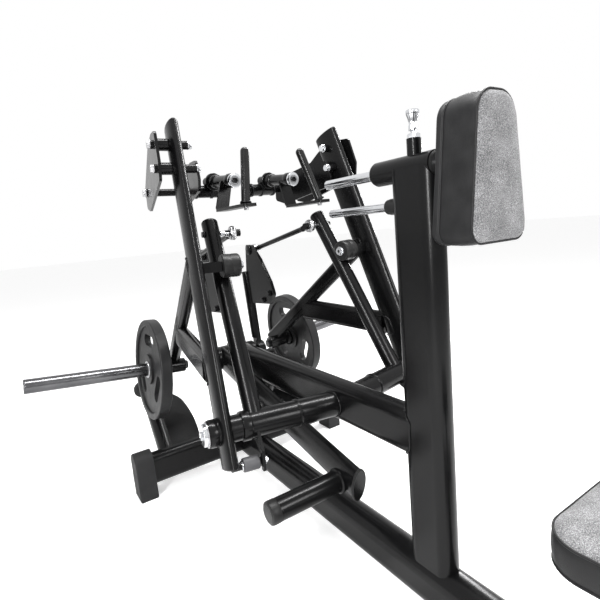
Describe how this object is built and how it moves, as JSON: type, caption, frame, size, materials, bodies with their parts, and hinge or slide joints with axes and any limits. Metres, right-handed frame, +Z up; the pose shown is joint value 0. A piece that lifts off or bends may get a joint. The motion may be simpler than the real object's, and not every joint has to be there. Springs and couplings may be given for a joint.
{
  "type": "plate-loaded seated row machine",
  "caption": "Plate-loaded chest-supported row machine: seat, sliding chest pad, pivoting arms with swivel grips and weight horns, and a foot lever that starts the arms.",
  "frame": {"origin": "centre of the machine's bounding box at floor level", "axes": "X to the seated user's right, Y forwards from the seat towards the weights, Z up"},
  "size_m": [1.5126, 1.9476, 1.2781],
  "materials": {
    "black_paint": "satin black powder coat",
    "cover_rubber": "matt black rubber",
    "weight_rubber": "matt black moulded rubber",
    "grip_rubber": "smooth black rubber",
    "pad_fabric": "grey speckled woven fabric with black sides",
    "roller_plastic": "black moulded polymer",
    "bush_plastic": "black bearing polymer",
    "bright_chrome": "polished chrome plate",
    "rod_steel": "gloss black"
  },
  "bodies": {
    "frame": {"front_foot": "black_paint", "rear_foot": "black_paint", "base_rail": "black_paint", "front_cover_right": "cover_rubber", "front_cover_left": "cover_rubber", "rear_cover_right": "cover_rubber", "rear_cover_left": "cover_rubber", "column": "black_paint", "beam": "black_paint", "front_leg": "black_paint", "pivot_stub_right": "black_paint", "pivot_stub_left": "black_paint", "pivot_shaft_right": "bright_chrome", "pivot_shaft_left": "bright_chrome", "hub_cap_right": "bright_chrome", "hub_cap_left": "bright_chrome", "buffer_post_right": "black_paint", "buffer_post_left": "black_paint", "buffer_disc_right": "cover_rubber", "buffer_disc_left": "cover_rubber", "rod_sleeve": "black_paint", "guide_bush": "bush_plastic", "seat_post": "black_paint"},
    "chest": {"pad_carriage": "bright_chrome", "chest_pad": "pad_fabric"},
    "chest_pin": {"pad_pin": "bright_chrome"},
    "seat": {"seat_stem": "bright_chrome", "seat_pad": "pad_fabric"},
    "seat_height_pin": {"seat_pin": "bright_chrome"},
    "lever": {"foot_lever": "black_paint", "foot_bar": "black_paint", "rocker_right": "black_paint", "rocker_left": "black_paint"},
    "link_right": {"link_rod_right": "rod_steel"},
    "start_right": {"start_lever_right": "black_paint"},
    "arm_right": {"arm_right": "black_paint", "diagonal_right": "black_paint", "brace_right": "black_paint", "horn_right": "bright_chrome", "kite_right": "black_paint"},
    "push_roller_right": {"roller_right": "roller_plastic"},
    "handle_head_right": {"carriage_right": "black_paint"},
    "swivel_right": {"handle_right": "black_paint", "grip_right": "grip_rubber"},
    "plate_right": {"weight_right": "weight_rubber"},
    "link_left": {"link_rod_left": "rod_steel"},
    "start_left": {"start_lever_left": "black_paint"},
    "arm_left": {"arm_left": "black_paint", "diagonal_left": "black_paint", "brace_left": "black_paint", "horn_left": "bright_chrome", "kite_left": "black_paint"},
    "push_roller_left": {"roller_left": "roller_plastic"},
    "handle_head_left": {"carriage_left": "black_paint"},
    "swivel_left": {"handle_left": "black_paint", "grip_left": "grip_rubber"},
    "plate_left": {"weight_left": "weight_rubber"}
  },
  "joints": [
    {"name": "chest_slide", "type": "slide", "parent": "frame", "child": "chest", "axis": [0, 1, 0], "range_m": [-0.12, 0.025]},
    {"name": "chest_pin_pull", "type": "slide", "parent": "frame", "child": "chest_pin", "axis": [0, 0, 1], "range_m": [0, 0.015], "stiffness_N_per_m": 800},
    {"name": "seat_slide", "type": "slide", "parent": "frame", "child": "seat", "axis": [0, 0, 1], "range_m": [0, 0.1]},
    {"name": "seat_pin_pull", "type": "slide", "parent": "frame", "child": "seat_height_pin", "axis": [0, -1, 0], "range_m": [0, 0.012], "stiffness_N_per_m": 800},
    {"name": "foot_press", "type": "hinge", "parent": "frame", "child": "lever", "pos_m": [0, 0.6382, 0.45], "axis": [1, 0, 0], "range_deg": [0, 8]},
    {"name": "start_right", "type": "hinge", "parent": "frame", "child": "start_right", "pos_m": [0, -0.0538, 0.442], "axis": [0.9889, 0.146, 0.0279], "range_deg": [0, 5.8]},
    {"name": "row_right", "type": "hinge", "parent": "start_right", "child": "arm_right", "pos_m": [0, -0.0538, 0.442], "axis": [0.9889, 0.146, 0.0279], "range_deg": [0, 40]},
    {"name": "link_right", "type": "hinge", "parent": "lever", "child": "link_right", "pos_m": [0.12, 0.6162, 0.871], "axis": [0.9967, -0.003, -0.0811], "range_deg": [-13, 0]},
    {"name": "roller_right", "type": "hinge", "parent": "arm_right", "child": "push_roller_right", "pos_m": [0.21275, 0.13834, 0.85582], "axis": [0.9889, 0.146, 0.0279], "continuous": true},
    {"name": "head_right", "type": "hinge", "parent": "arm_right", "child": "handle_head_right", "pos_m": [0.10508, 0.47927, 1.09533], "axis": [0.9889, 0.146, 0.0279], "range_deg": [-30, 10]},
    {"name": "swivel_right", "type": "hinge", "parent": "handle_head_right", "child": "swivel_right", "pos_m": [0.108, 0.2712, 1.106], "axis": [0, 0.9945, 0.1045], "range_deg": [-30, 30]},
    {"name": "load_right", "type": "slide", "parent": "arm_right", "child": "plate_right", "axis": [0.9945, 0, 0.1045], "range_m": [0, 0.38]},
    {"name": "start_left", "type": "hinge", "parent": "frame", "child": "start_left", "pos_m": [0, -0.0538, 0.442], "axis": [0.9889, -0.146, -0.0279], "range_deg": [0, 5.8]},
    {"name": "row_left", "type": "hinge", "parent": "start_left", "child": "arm_left", "pos_m": [0, -0.0538, 0.442], "axis": [0.9889, -0.146, -0.0279], "range_deg": [0, 40]},
    {"name": "link_left", "type": "hinge", "parent": "lever", "child": "link_left", "pos_m": [-0.12, 0.6162, 0.871], "axis": [0.9967, 0.003, 0.0811], "range_deg": [-13, 0]},
    {"name": "roller_left", "type": "hinge", "parent": "arm_left", "child": "push_roller_left", "pos_m": [-0.21275, 0.13834, 0.85582], "axis": [0.9889, -0.146, -0.0279], "continuous": true},
    {"name": "head_left", "type": "hinge", "parent": "arm_left", "child": "handle_head_left", "pos_m": [-0.10508, 0.47927, 1.09533], "axis": [0.9889, -0.146, -0.0279], "range_deg": [-30, 10]},
    {"name": "swivel_left", "type": "hinge", "parent": "handle_head_left", "child": "swivel_left", "pos_m": [-0.108, 0.2712, 1.106], "axis": [0, 0.9945, 0.1045], "range_deg": [-30, 30]},
    {"name": "load_left", "type": "slide", "parent": "arm_left", "child": "plate_left", "axis": [-0.9945, 0, 0.1045], "range_m": [0, 0.38]}
  ],
  "couplings": [
    {"joint": "start_right", "follows": "foot_press", "ratio": 0.717},
    {"joint": "link_right", "follows": "foot_press", "ratio": -1.6154},
    {"joint": "start_left", "follows": "foot_press", "ratio": 0.717},
    {"joint": "link_left", "follows": "foot_press", "ratio": -1.6154}
  ]
}
